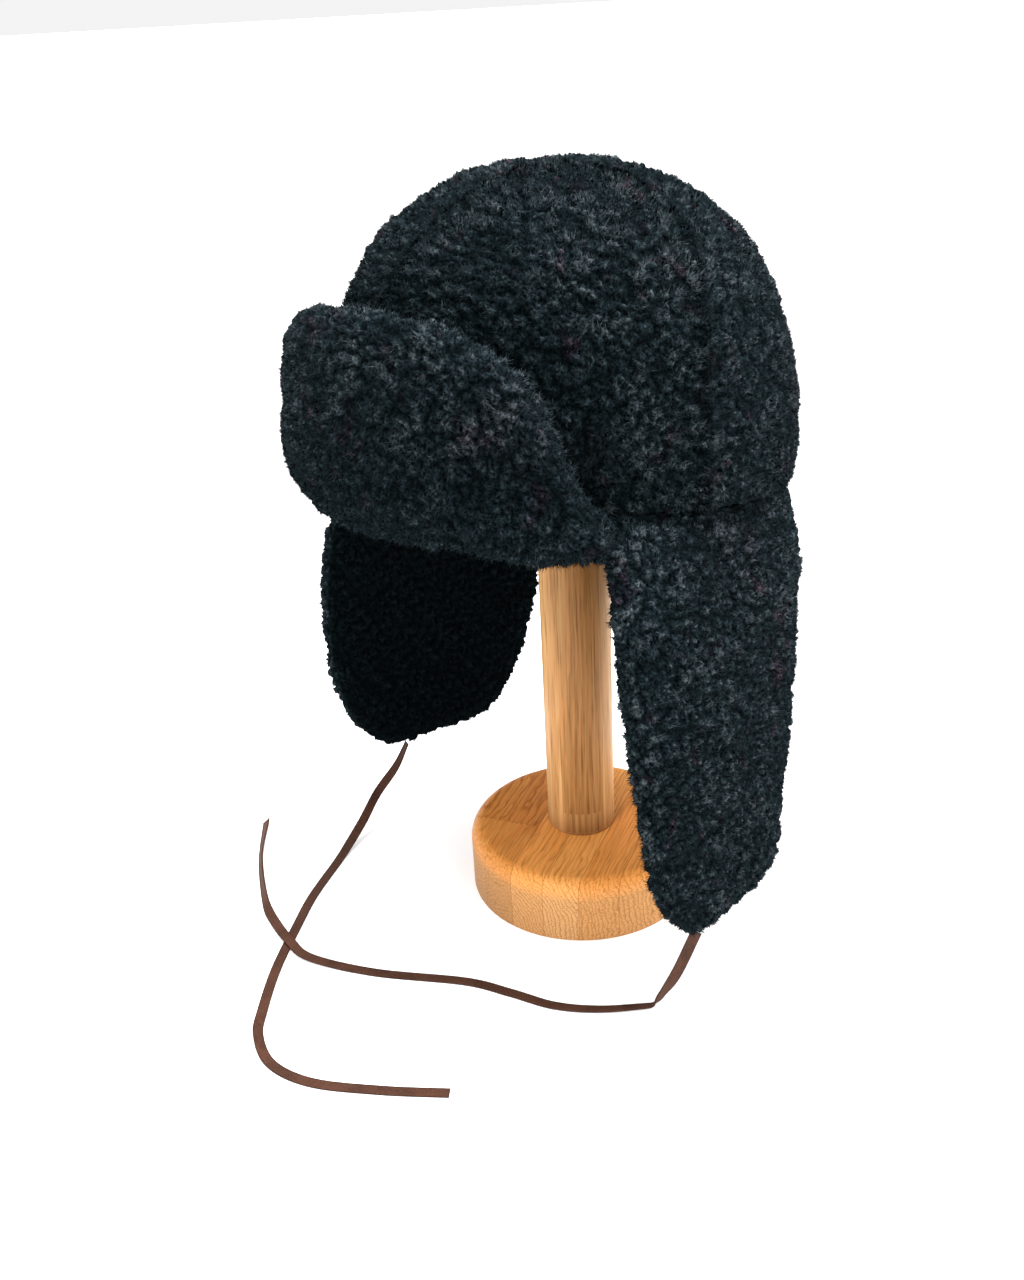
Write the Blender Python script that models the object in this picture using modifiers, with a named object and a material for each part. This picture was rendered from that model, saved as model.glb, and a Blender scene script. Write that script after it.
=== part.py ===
"""Aviator hat with turned-up brim and long ear flaps, resting on a round wooden stand.

The hat faces -Y and stands on the XY plane, with the axis of its post on +Z.
Lengths are written in millimetres and turned into metres where meshes are made.
"""
import bpy
import bmesh
from math import asin, cos, pi, radians, sin, sqrt
from mathutils import Vector

MM = 0.001
GAP = 0.3

# Stand
POST_RADIUS = 19.0
POST_FACETS = 40
BASE_RADIUS = 64.0
BASE_HEIGHT = 38.0
BASE_FACETS = 60
BASE_TOP_ROUNDING = 8.5
BASE_FOOT_ROUNDING = 1.0
HEAD_RADIUS = 48.0
HEAD_UNDERSIDE_Z = 350.0
HEAD_SHOULDER_Z = 367.1
HEAD_TOP_Z = 383.3
HEAD_FACETS = 40

# Crown: an oval that keeps its width up to a shoulder and closes in a flat dome
CROWN_HALF_WIDTH = 99.5
CROWN_HALF_DEPTH = 115.5
CROWN_CENTRE_Y = 7.0
CROWN_LEAN_Y = -12.5
CROWN_TOP_Z = 400.5
CROWN_SEAM_Z = 251.0
CROWN_SEAM_SLOPE = -0.16
CROWN_WALL = 10.2
CROWN_LEVELS = (0.0, 1.2, 5.5, 14.0, 26.0, 40.0, 55.0, 69.0, 81.0, 90.0)
GORE_COLUMNS = (0.0, 0.1, 0.3, 0.5, 0.7, 0.9, 1.0)
CROWN_SHOULDER_POWER = 0.555
GORE_SEAM_DIP = 3.5
GORE_APEX_DIP = 5.0
CROWN_BELLY = 5.2
SIDE_SEAM_ANGLE_LOW = -6.5
SIDE_SEAM_ANGLE_RISE = 36.0

# Turned-up brim, sampled from the front centre to its end beside the ear flap
BRIM_STATIONS = (
    # angle from front, underside z, upper edge z, reach of the foot under the crown's rim
    (0.0, 252.0, 350.0, 10.0),
    (11.0, 253.0, 350.0, 10.0),
    (20.0, 254.0, 347.0, 10.0),
    (27.0, 254.0, 343.0, 10.0),
    (33.0, 252.0, 336.0, 10.0),
    (38.0, 250.0, 329.0, 10.0),
    (42.0, 249.0, 320.0, 9.0),
    (45.5, 249.0, 308.0, 7.0),
    (49.0, 250.0, 287.0, 2.0),
    (52.5, 252.0, 269.0, -5.0),
    (55.5, 254.0, 263.0, -8.0),
)
BRIM_LIFT_PER_MM = 0.08
BRIM_FACE_OFFSET = 31.5
BRIM_THICKNESS = 23.5

# Ear flap of the wearer's left side; the other one mirrors it and is a little wider
EAR_FLAP_SEAM_ANGLES = (-36.0, 10.5)
EAR_FLAP_ROWS = (
    # z, front y, back y, front x, back x, bulge outward, thickness; the seam's own row comes above these
    (247.5, -60.5, 30.5, 79.8, 92.6, 1.0, 13.0),
    (235.0, -69.0, 45.0, 95.0, 92.0, 5.0, 18.0),
    (217.0, -79.0, 59.0, 108.0, 93.0, 6.0, 20.0),
    (195.0, -83.0, 63.0, 116.0, 94.0, 7.0, 20.0),
    (165.0, -84.0, 62.0, 123.0, 95.0, 7.0, 20.0),
    (132.0, -82.0, 58.0, 128.0, 97.0, 7.0, 20.0),
    (108.0, -79.0, 52.0, 130.0, 100.0, 6.0, 20.0),
    (88.0, -74.0, 45.0, 130.0, 104.0, 4.0, 20.0),
    (71.0, -66.0, 38.0, 129.0, 110.0, 3.0, 20.0),
    (58.0, -53.5, 29.5, 127.0, 115.0, 1.0, 19.0),
    (48.0, -38.0, 13.0, 125.0, 120.0, 0.0, 17.0),
)
FLAP_COLUMNS = (-1.0, -0.82, -0.42, 0.0, 0.42, 0.82, 1.0)
RIGHT_FLAP_WIDER_FRONT = 4.0
RIGHT_FLAP_WIDER_BACK = 2.5
RIGHT_FLAP_WIDER_BELOW_SEAM = 45.0

# Neck flap round the back, between the ear flaps' back edges
NECK_FLAP_ROWS = (
    # z at the back, y at the back, thickness; the seam's own row comes above these
    (229.0, 115.5, 11.0),
    (220.0, 114.0, 12.0),
    (205.0, 113.0, 13.0),
    (188.0, 112.0, 13.0),
    (170.0, 111.0, 14.0),
)
FLAP_SEAM_THICKNESS = 13.0
FLAP_SEAM_RISE = 0.35
NECK_FLAP_COLUMNS = (0.0, 0.08, 0.28, 0.52, 0.76, 1.0)

# Flat ties: routes of their middle lines from the flap's tip to the free end
TIE_WIDTH = 5.5
TIE_THICKNESS = 1.2
TIE_LEFT_ROUTE = (
    (126.5, -39.5, 51.0),
    (119.5, -45.0, 25.5),
    (113.5, -49.5, 10.0),
    (108.5, -54.5, 1.3),
    (93.0, -74.0, 0.8),
    (75.0, -89.0, 0.8),
    (52.0, -99.5, 0.8),
    (29.0, -111.5, 0.8),
    (-9.5, -142.5, 0.8),
    (-42.5, -162.0, 1.8),
    (-62.0, -163.5, 2.6),
    (-85.5, -160.0, 1.6),
    (-104.5, -154.5, 0.8),
    (-141.5, -136.0, 0.8),
    (-176.0, -112.0, 0.8),
)
TIE_RIGHT_ROUTE = (
    (-122.5, -35.0, 50.8),
    (-124.0, -44.0, 36.5),
    (-125.0, -59.0, 23.0),
    (-121.5, -73.5, 11.0),
    (-115.0, -90.0, 3.2),
    (-108.5, -102.0, 0.8),
    (-90.0, -131.0, 0.8),
    (-73.5, -151.5, 0.8),
    (-49.0, -180.0, 0.8),
    (-25.0, -202.5, 0.8),
    (-10.0, -213.5, 0.8),
    (11.0, -218.5, 0.8),
    (35.0, -210.5, 0.8),
    (62.0, -188.5, 0.8),
    (86.0, -165.0, 0.8),
)
TIE_STEPS = 4

PILE_COLOUR = (0.024, 0.032, 0.038)
LEATHER_COLOUR = (0.12, 0.055, 0.035)
WOOD_COLOUR = (0.62, 0.38, 0.18)


def clear_scene():
    for old in list(bpy.data.objects):
        bpy.data.objects.remove(old, do_unlink=True)


def make_collection(name):
    collection = bpy.data.collections.new(name)
    bpy.context.scene.collection.children.link(collection)
    return collection


def make_material(name, colour, roughness):
    material = bpy.data.materials.new(name)
    material.use_nodes = True
    shader = material.node_tree.nodes["Principled BSDF"]
    shader.inputs["Base Color"].default_value = (*colour, 1.0)
    shader.inputs["Roughness"].default_value = roughness
    return material


def add_object(collection, name, data, colour, roughness):
    obj = bpy.data.objects.new(name, data)
    data.materials.append(make_material(name + "_material", colour, roughness))
    collection.objects.link(obj)
    return obj


def smooth_cage(obj, levels=1):
    subdivision = obj.modifiers.new("Smooth", "SUBSURF")
    subdivision.levels = levels
    subdivision.render_levels = levels
    return subdivision


def mesh_from(name, points, faces):
    mesh = bpy.data.meshes.new(name)
    mesh.from_pydata([Vector(point) * MM for point in points], [], faces)
    shape = bmesh.new()
    shape.from_mesh(mesh)
    bmesh.ops.recalc_face_normals(shape, faces=shape.faces[:])
    if shape.calc_volume(signed=True) < 0.0:
        bmesh.ops.reverse_faces(shape, faces=shape.faces[:])
    shape.to_mesh(mesh)
    shape.free()
    return mesh


# Stand

def add_round_post(collection):
    mesh = bpy.data.meshes.new("stand_post")
    shape = bmesh.new()
    bottom = BASE_HEIGHT + GAP
    top = HEAD_UNDERSIDE_Z - GAP
    bmesh.ops.create_cone(
        shape, cap_ends=True, segments=POST_FACETS,
        radius1=POST_RADIUS * MM, radius2=POST_RADIUS * MM, depth=(top - bottom) * MM,
    )
    bmesh.ops.translate(shape, verts=shape.verts[:], vec=Vector((0.0, 0.0, (top + bottom) / 2 * MM)))
    shape.to_mesh(mesh)
    shape.free()
    return add_object(collection, "stand_post", mesh, WOOD_COLOUR, 0.5)


def lathe(collection, name, profile, facets, colour, roughness):
    """Turn a profile of (radius, z) pairs, listed from the top axis to the bottom axis, round Z."""
    mesh = bpy.data.meshes.new(name)
    points = [(radius * MM, 0.0, z * MM) for radius, z in profile]
    mesh.from_pydata(points, [(i, i + 1) for i in range(len(points) - 1)], [])
    obj = add_object(collection, name, mesh, colour, roughness)
    screw = obj.modifiers.new("Turn", "SCREW")
    screw.axis = "Z"
    screw.steps = facets
    screw.render_steps = facets
    screw.use_merge_vertices = True
    screw.merge_threshold = 0.00005
    screw.use_smooth_shade = False
    return obj


def rounded_corner(radius, z, rounding, start, stop, steps):
    """Points of a quarter circle whose centre is at (radius, z), in degrees above the horizontal."""
    turn = (stop - start) / steps
    return [
        (radius + rounding * cos(radians(start + turn * i)), z + rounding * sin(radians(start + turn * i)))
        for i in range(steps + 1)
    ]


def add_base(collection):
    profile = [(0.0, BASE_HEIGHT)]
    profile += rounded_corner(
        BASE_RADIUS - BASE_TOP_ROUNDING, BASE_HEIGHT - BASE_TOP_ROUNDING, BASE_TOP_ROUNDING, 90.0, 0.0, 5)
    profile += rounded_corner(
        BASE_RADIUS - BASE_FOOT_ROUNDING, BASE_FOOT_ROUNDING, BASE_FOOT_ROUNDING, 0.0, -90.0, 2)
    profile.append((0.0, 0.0))
    return lathe(collection, "stand_base", profile, BASE_FACETS, WOOD_COLOUR, 0.5)


def add_head(collection):
    rise = HEAD_TOP_Z - HEAD_SHOULDER_Z
    profile = []
    for share in (0.0, 0.25, 0.45, 0.62, 0.77, 0.89, 0.97, 1.0):
        profile.append((HEAD_RADIUS * share, HEAD_SHOULDER_Z + rise * sqrt(1.0 - share ** 2)))
    profile.append((HEAD_RADIUS, HEAD_UNDERSIDE_Z))
    profile.append((0.0, HEAD_UNDERSIDE_Z))
    return lathe(collection, "stand_head", profile, HEAD_FACETS, WOOD_COLOUR, 0.5)


# Crown

def seam_height(angle):
    """Height of the seam between the crown and the flaps, at an angle from +X in degrees."""
    return CROWN_SEAM_Z + CROWN_SEAM_SLOPE * CROWN_HALF_DEPTH * sin(radians(angle))


def crown_height(level):
    """Share of the crown's height at a level. A small power keeps the walls upright up to the shoulder."""
    return max(0.0, sin(radians(level))) ** CROWN_SHOULDER_POWER


def crown_point(angle, level, dip):
    """A point of the crown's face. The level is 0 at the seam and 90 at the top."""
    around = radians(angle)
    across = cos(radians(level))
    height = crown_height(level)
    x = CROWN_HALF_WIDTH * across * cos(around)
    y = CROWN_HALF_DEPTH * across * sin(around)
    low = seam_height(angle)
    z = low + (CROWN_TOP_Z - low) * height
    normal = Vector((
        x / CROWN_HALF_WIDTH ** 2,
        y / CROWN_HALF_DEPTH ** 2,
        2.0 * height ** 3 / (CROWN_TOP_Z - CROWN_SEAM_Z),
    )).normalized()
    middle = Vector((0.0, CROWN_CENTRE_Y + CROWN_LEAN_Y * height, 0.0))
    belly = CROWN_BELLY * sin(pi * height ** 0.45)
    return middle + Vector((x, y, z)) + normal * (belly - dip)


def side_seam_angle(level):
    height = crown_height(level)
    return SIDE_SEAM_ANGLE_LOW + SIDE_SEAM_ANGLE_RISE * height ** 3.5


def gore_points(front, left):
    """Rows of one gore's face, from the seam line up, ending in the one point at the top."""
    side_sign = 1.0 if left else -1.0
    rows = []
    for level in CROWN_LEVELS:
        height = crown_height(level)
        seam_dip = GORE_SEAM_DIP + (GORE_APEX_DIP - GORE_SEAM_DIP) * height ** 4
        seam = side_seam_angle(level)
        far = -90.0 if front else 90.0
        if level == CROWN_LEVELS[-1]:
            top = crown_point(0.0, level, GORE_APEX_DIP)
            rows.append([top])
            continue
        row = []
        for share in GORE_COLUMNS:
            angle = seam + (far - seam) * share
            fullness = 1.0 - abs(2.0 * share - 1.0) ** 4
            point = crown_point(angle, level, seam_dip * (1.0 - fullness))
            row.append(point)
        rows.append(row)
    shift = Vector((GAP * 0.75, GAP / 2 * (-1.0 if front else 1.0), 0.0))
    moved = [[point + shift for point in row] for row in rows]
    return [[Vector((point.x * side_sign, point.y, point.z)) for point in row] for row in moved]


def add_gore(collection, name, front, left):
    rows = gore_points(front, left)
    points = []
    index = []
    for row in rows:
        index.append(list(range(len(points), len(points) + len(row))))
        points += row
    faces = []
    for low, high in zip(index[:-2], index[1:-1]):
        for i in range(len(low) - 1):
            faces.append((low[i], low[i + 1], high[i + 1], high[i]))
    last = index[-2]
    tip = index[-1][0]
    for i in range(len(last) - 1):
        faces.append((last[i], last[i + 1], tip))
    mesh = mesh_from(name, points, faces)
    face_outward(mesh, Vector((0.0, 0.0, 0.2)))
    obj = add_object(collection, name, mesh, PILE_COLOUR, 0.95)
    smooth_cage(obj).boundary_smooth = "PRESERVE_CORNERS"
    wall = obj.modifiers.new("Wall", "SOLIDIFY")
    wall.thickness = CROWN_WALL * MM
    wall.offset = -1.0
    wall.use_rim = True
    return obj


def face_outward(mesh, centre):
    """Turn an open sheet's faces away from a point inside it."""
    score = sum((face.center - centre).dot(face.normal) for face in mesh.polygons)
    if score < 0.0:
        mesh.flip_normals()


# Padded flaps

def pillow_mesh(name, rows, thickness_rows):
    """Closed cage round a sheet of points: full thickness inside, joined along its rim."""
    height = len(rows)
    width = len(rows[0])
    normals = []
    for i in range(height):
        line = []
        for j in range(width):
            along = rows[min(i + 1, height - 1)][j] - rows[max(i - 1, 0)][j]
            across = rows[i][min(j + 1, width - 1)] - rows[i][max(j - 1, 0)]
            line.append(across.cross(along).normalized())
        normals.append(line)
    points = []
    outer = []
    inner = []
    for i in range(height):
        outer_line = []
        inner_line = []
        for j in range(width):
            on_rim = i in (0, height - 1) or j in (0, width - 1)
            half = thickness_rows[i] / 2
            if on_rim:
                outer_line.append(len(points))
                inner_line.append(len(points))
                points.append(rows[i][j])
                continue
            outer_line.append(len(points))
            points.append(rows[i][j] + normals[i][j] * half)
            inner_line.append(len(points))
            points.append(rows[i][j] - normals[i][j] * half)
        outer.append(outer_line)
        inner.append(inner_line)
    faces = []
    for i in range(height - 1):
        for j in range(width - 1):
            faces.append((outer[i][j], outer[i][j + 1], outer[i + 1][j + 1], outer[i + 1][j]))
            faces.append((inner[i][j], inner[i + 1][j], inner[i + 1][j + 1], inner[i][j + 1]))
    return mesh_from(name, points, faces)


def seam_point(angle):
    """Middle of the crown wall's underside, a small gap below it, at an angle from +X in degrees."""
    around = radians(angle)
    x = (CROWN_HALF_WIDTH - CROWN_WALL / 2) * cos(around)
    y = CROWN_CENTRE_Y + (CROWN_HALF_DEPTH - CROWN_WALL / 2) * sin(around)
    return Vector((x, y, seam_height(angle) + FLAP_SEAM_RISE - GAP))


def ear_flap_sheet(left):
    """Rows of the flap's middle surface on the +X side. The wearer's right flap is a little wider."""
    front_angle, back_angle = EAR_FLAP_SEAM_ANGLES
    shares = [(column + 1.0) / 2.0 for column in FLAP_COLUMNS]
    rows = [[seam_point(front_angle + (back_angle - front_angle) * share) for share in shares]]
    top_z = CROWN_SEAM_Z
    for z, front_y, back_y, front_x, back_x, bulge, thickness in EAR_FLAP_ROWS:
        fade = max(0.0, (z - 190.0) / (top_z - 190.0))
        if not left:
            grown = min(1.0, (top_z - z) / RIGHT_FLAP_WIDER_BELOW_SEAM)
            front_y -= RIGHT_FLAP_WIDER_FRONT * grown
            back_y += RIGHT_FLAP_WIDER_BACK * grown
        row = []
        for share in shares:
            y = front_y + (back_y - front_y) * share
            x = front_x + (back_x - front_x) * share + bulge * 4.0 * share * (1.0 - share)
            slope = CROWN_SEAM_SLOPE * (y - CROWN_CENTRE_Y)
            row.append(Vector((x, y, z + slope * fade)))
        rows.append(row)
    return rows


def add_ear_flap(collection, name, left):
    rows = ear_flap_sheet(left)
    if not left:
        rows = mirrored(rows)
    thickness = [FLAP_SEAM_THICKNESS] + [row[-1] for row in EAR_FLAP_ROWS]
    mesh = pillow_mesh(name, rows, thickness)
    crease_seam(mesh, rows[0] + [row[-1] for row in rows[:len(NECK_FLAP_ROWS) + 1]])
    obj = add_object(collection, name, mesh, PILE_COLOUR, 0.95)
    smooth_cage(obj)
    return obj


def mirrored(rows):
    return [[Vector((-point.x, point.y, point.z)) for point in row] for row in rows]


def neck_flap_half(left):
    """Rows from one ear flap's back edge round to the centre back, on the +X side."""
    sides = [row[-1] + Vector((0.0, 1.4 * GAP, 0.0)) for row in ear_flap_sheet(left)[:len(NECK_FLAP_ROWS) + 1]]
    seam_start = EAR_FLAP_SEAM_ANGLES[1]
    halves = [[seam_point(seam_start + (90.0 - seam_start) * share) for share in NECK_FLAP_COLUMNS]]
    halves[0][0] = sides[0]
    half_width = CROWN_HALF_WIDTH - CROWN_WALL / 2
    for side, (back_z, back_y, thickness) in zip(sides[1:], NECK_FLAP_ROWS):
        half_depth = back_y - CROWN_CENTRE_Y
        start = asin((side.y - CROWN_CENTRE_Y) / half_depth)
        outside = side.x - half_width * cos(start)
        half = []
        for share in NECK_FLAP_COLUMNS:
            around = start + (pi / 2 - start) * share
            x = half_width * cos(around) + outside * (1.0 - share) ** 2
            y = CROWN_CENTRE_Y + half_depth * sin(around)
            z = side.z + (back_z - side.z) * sin(pi / 2 * share)
            half.append(Vector((x, y, z)))
        halves.append(half)
    return halves


def add_neck_flap(collection):
    rows = [half + other[-2::-1] for half, other in zip(neck_flap_half(True), mirrored(neck_flap_half(False)))]
    mesh = pillow_mesh("neck_flap", rows, [FLAP_SEAM_THICKNESS] + [row[-1] for row in NECK_FLAP_ROWS])
    crease_seam(mesh, rows[0] + [row[0] for row in rows] + [row[-1] for row in rows])
    obj = add_object(collection, "neck_flap", mesh, PILE_COLOUR, 0.95)
    smooth_cage(obj)
    return obj


def crease_seam(mesh, seam):
    """Keep the edges between seam points where they are when the cage is smoothed."""
    places = [point * MM for point in seam]
    on_seam = [min((vertex.co - place).length for place in places) < 0.00005 for vertex in mesh.vertices]
    creases = mesh.attributes.new("crease_edge", "FLOAT", "EDGE")
    for edge, crease in zip(mesh.edges, creases.data):
        crease.value = 1.0 if on_seam[edge.vertices[0]] and on_seam[edge.vertices[1]] else 0.0


# Brim

def brim_section(angle, underside, upper_edge, foot):
    """Closed outline of the brim's thickness: it starts under the crown's rim and turns up in front."""
    rim = seam_height(angle)
    tall = upper_edge - underside
    face = BRIM_FACE_OFFSET
    back = face - BRIM_THICKNESS
    foot_top = min(rim - 2.0, underside + 0.45 * tall)
    outline = (
        (-foot, foot_top),
        (1.5, foot_top),
        (back * 0.85, min(rim + 4.0, underside + 0.55 * tall)),
        (back, underside + 0.64 * tall),
        (back * 0.9, underside + 0.86 * tall),
        (back, upper_edge - 1.0),
        (back + 6.0, upper_edge + 2.0),
        (face - 7.0, upper_edge + 1.0),
        (face - 1.0, underside + 0.90 * tall),
        (face + 1.0, underside + 0.66 * tall),
        (face + 5.0, underside + 0.38 * tall),
        (face + 4.0, underside + 0.14 * tall),
        (face - 7.0, underside),
        (face - 20.0, underside - 1.0),
        (1.0 - foot, underside + 1.0),
    )
    around = radians(angle)
    points = []
    for offset, z in outline:
        x = (CROWN_HALF_WIDTH + offset) * cos(around)
        y = CROWN_CENTRE_Y + (CROWN_HALF_DEPTH + offset) * sin(around)
        points.append(Vector((x, y, z)))
    return points


def add_brim(collection):
    left_half = [brim_section(-90.0 + turn, low, high, foot) for turn, low, high, foot in BRIM_STATIONS]
    sections = mirrored(left_half[:0:-1]) + left_half
    lowest = min(row[1] for row in BRIM_STATIONS)
    tallest = max(row[2] for row in BRIM_STATIONS) - lowest
    for section in sections:
        for point in section:
            point.z += BRIM_LIFT_PER_MM * point.x * max(0.0, point.z - lowest) / tallest
    count = len(sections[0])
    points = [point for section in sections for point in section]
    faces = []
    for i in range(len(sections) - 1):
        for j in range(count):
            after = (j + 1) % count
            faces.append((i * count + j, i * count + after, (i + 1) * count + after, (i + 1) * count + j))
    faces.append(tuple(range(count)))
    last = (len(sections) - 1) * count
    faces.append(tuple(range(last + count - 1, last - 1, -1)))
    mesh = mesh_from("brim", points, faces)
    obj = add_object(collection, "brim", mesh, PILE_COLOUR, 0.95)
    smooth_cage(obj)
    return obj


# Ties

def smooth_route(route, steps):
    """Points of a smooth curve through the route's points."""
    places = [Vector(place) for place in route]
    ends = [places[0] * 2 - places[1]] + places + [places[-1] * 2 - places[-2]]
    curve = []
    for i in range(1, len(ends) - 2):
        before, start, stop, after = ends[i - 1:i + 3]
        for step in range(steps):
            t = step / steps
            curve.append(0.5 * (
                2 * start + (stop - before) * t
                + (2 * before - 5 * start + 4 * stop - after) * t ** 2
                + (3 * start - before - 3 * stop + after) * t ** 3
            ))
    curve.append(places[-1])
    return curve


def add_tie(collection, name, route):
    """A flat strip that keeps its width level along the route."""
    middle = smooth_route(route, TIE_STEPS)
    points = []
    for i, place in enumerate(middle):
        along = middle[min(i + 1, len(middle) - 1)] - middle[max(i - 1, 0)]
        across = along.cross(Vector((0.0, 0.0, 1.0))).normalized()
        lift = max(0.0, TIE_THICKNESS / 2 + GAP / 6 - place.z)
        raised = place + Vector((0.0, 0.0, lift))
        points.append(raised - across * TIE_WIDTH / 2)
        points.append(raised + across * TIE_WIDTH / 2)
    faces = [(2 * i, 2 * i + 1, 2 * i + 3, 2 * i + 2) for i in range(len(middle) - 1)]
    obj = add_object(collection, name, mesh_from(name, points, faces), LEATHER_COLOUR, 0.7)
    strip = obj.modifiers.new("Thickness", "SOLIDIFY")
    strip.thickness = TIE_THICKNESS * MM
    strip.offset = 0.0
    return obj


def main():
    clear_scene()
    collection = make_collection("Aviator hat on stand")
    add_base(collection)
    add_round_post(collection)
    add_head(collection)
    add_gore(collection, "crown_front_left", True, True)
    add_gore(collection, "crown_front_right", True, False)
    add_gore(collection, "crown_back_left", False, True)
    add_gore(collection, "crown_back_right", False, False)
    add_brim(collection)
    add_ear_flap(collection, "ear_flap_left", True)
    add_ear_flap(collection, "ear_flap_right", False)
    add_neck_flap(collection)
    add_tie(collection, "tie_left", TIE_LEFT_ROUTE)
    add_tie(collection, "tie_right", TIE_RIGHT_ROUTE)


main()
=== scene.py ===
"""Looks of the aviator hat on its round wooden stand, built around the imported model.

Every length is in metres, in the model's own frame: the hat faces -Y, its wearer's left side
is at +X, and the floor is z = 0. Turns are in degrees unless a comment says otherwise.
"""

from math import cos, pi, radians, sin

import bmesh
import bpy
import numpy as np
from mathutils import Matrix, Vector
from mathutils.bvhtree import BVHTree


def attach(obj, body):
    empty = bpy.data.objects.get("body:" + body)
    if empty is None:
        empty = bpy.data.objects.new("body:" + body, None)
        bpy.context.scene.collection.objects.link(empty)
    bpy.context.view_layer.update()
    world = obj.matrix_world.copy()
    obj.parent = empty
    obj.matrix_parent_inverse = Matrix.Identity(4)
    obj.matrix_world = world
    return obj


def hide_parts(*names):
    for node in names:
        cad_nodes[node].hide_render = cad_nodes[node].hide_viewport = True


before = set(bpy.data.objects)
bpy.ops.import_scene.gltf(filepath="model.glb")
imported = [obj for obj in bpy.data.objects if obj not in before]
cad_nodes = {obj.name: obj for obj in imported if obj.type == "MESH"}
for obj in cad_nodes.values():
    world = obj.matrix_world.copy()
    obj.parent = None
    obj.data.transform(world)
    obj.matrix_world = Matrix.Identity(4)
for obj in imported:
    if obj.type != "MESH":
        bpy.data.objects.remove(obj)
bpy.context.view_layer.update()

# Camera, fitted to the photograph
PHOTO_WIDTH = 1024
FOCAL_PIXELS = 1300.0
SENSOR = 36.0
CAMERA_PLACE = (0.47108, -0.41898, 0.46420)
CAMERA_RIGHT = (0.64002, 0.76687, -0.04779)
CAMERA_UP = (-0.31170, 0.31599, 0.89610)
CAMERA_FORWARD = (-0.70229, 0.55863, -0.44127)

# Floor and light
FLOOR_HALF = 80.0
FLOOR_GREY = (0.80, 0.80, 0.80, 1.0)
FLOOR_GLOW = 0.30
WHITE = (1.0, 1.0, 1.0, 1.0)
SKY_POWER = 0.9
SUNS = (
    # name, the way to it, spread, power
    ("overhead", (0.10, 0.15, 1.0), 38.0, 9.0),
    ("right", (1.0, 0.15, 0.65), 45.0, 2.2),
    ("left", (-1.0, -0.2, 0.55), 45.0, 0.2),
    ("front", (0.3, -1.0, 1.0), 25.0, 1.5),
)

# Pads: the pile's form, an even mesh of each solid with lumps on it
CROWN_MIDDLE = (0.0, 0.007, 0.27)
PAD_VOXEL = 0.00145
PAD_SMOOTHING = 6
PAD_INSET = 0.0020
HIDDEN_CELL = 0.0036
WELD_DISTANCE = 0.00001
LUMP_LENGTHS = (0.0110, 0.0062, 0.0036)
LUMP_SHARES = (0.45, 0.40, 0.25)
LUMP_FLATTENING = 1.3
LUMP_SPREAD = 0.45
LUMP_FLOOR = 0.04
LUMP_RISE = 0.0034
SEAM_LUMP_SHARE = 0.3
FLAT_SHARE = 0.125
RISING_SHARE = 0.625
SWELL_LENGTH = 0.030
SWELL_SHARE = 0.25
SEAM_CLEARANCE = 0.0026
VALLEY_REACH = 0.0045
SEAM_FILL = 0.0028
SEAM_FILL_REACH = 0.0070
RIM_FILL = 0.0007
RIM_FILL_BEHIND = 0.0013
RIM_FILL_REACH = 0.0042
BEHIND_START_Y = 0.020
BEHIND_LENGTH = 0.020
APEX = (0.0, -0.0040)
APEX_CLOSING = 0.0075
APEX_REACH = 0.024
CORNER_SWELLS = {
    # node: place, reach and height of thicker pile where a corner would leave a hole
    "brim": ((0.098, -0.070, 0.262), 0.012, 0.0042),
    "ear_flap_left": ((0.083, -0.055, 0.253), 0.012, 0.0034),
    "ear_flap_right": ((0.083, -0.055, 0.253), 0.012, 0.0034),
}

# Painted shade of the pile, from 0 in the deepest crevice to 1 on a curl, also darker at the seams, in the
# valleys and on the inside
PAD_SHADE = 0.85
ROOT_SHADE = 0.6
CREVICE_POWER = 1.5
TIP_POWER = 1.4
TIP_CREVICE_SHADE = 0.04
TIP_SEAM_SHADE = 0.3
SEAM_SHADE = 0.03
VALLEY_SHADE = 0.6
# Painted shade on the inside, painted shadow of the brim on the crown, and painted shade low on the brim
INSIDE_SHADE = 0.20
BRIM_SHADOW_REACH = 0.034
BRIM_SHADOW_SHADE = 0.60
BRIM_FOOT_SHADE = 0.66
BRIM_FOOT_Z = 0.275
BRIM_FOOT_HEIGHT = 0.055

# Fibres that stand on the pads in curls
LOCK_LENGTH = 0.0060
LOCK_LEAN = 1.5
FIBRE_LENGTH = 0.0033
FIBRE_WIDTH = 0.00044
FIBRE_ROOT_DEPTH = 0.0004
FIBRE_RISE = 0.70
FIBRE_TURN = 0.42
FIBRE_SPREAD = 0.45
LIGHT_SPREAD = 0.35
SEAM_LENGTH_SHARE = 0.15
CREVICE_LENGTH_SHARE = 0.45
CURL_LENGTH_SHARE = 0.65
CREVICE_FIBRES = 0.25
VALLEY_FIBRES = 2.2
SEAM_FIBRES = 0.15
STRAY_SHARE = 0.03
STRAY_GROWTH = 0.7
FIRST_SEED = 11
PILE_PIECES = (
    # node, fibres, share of fibres on faces turned to the inside
    ("crown_front_left", 76000, 0.0),
    ("crown_front_right", 56000, 0.0),
    ("crown_back_left", 56000, 0.0),
    ("crown_back_right", 50000, 0.0),
    ("brim", 76000, 1.0),
    ("ear_flap_left", 76000, 0.7),
    ("ear_flap_right", 64000, 1.0),
    ("neck_flap", 30000, 0.7),
)
PILE_NODES = [row[0] for row in PILE_PIECES]

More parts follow.
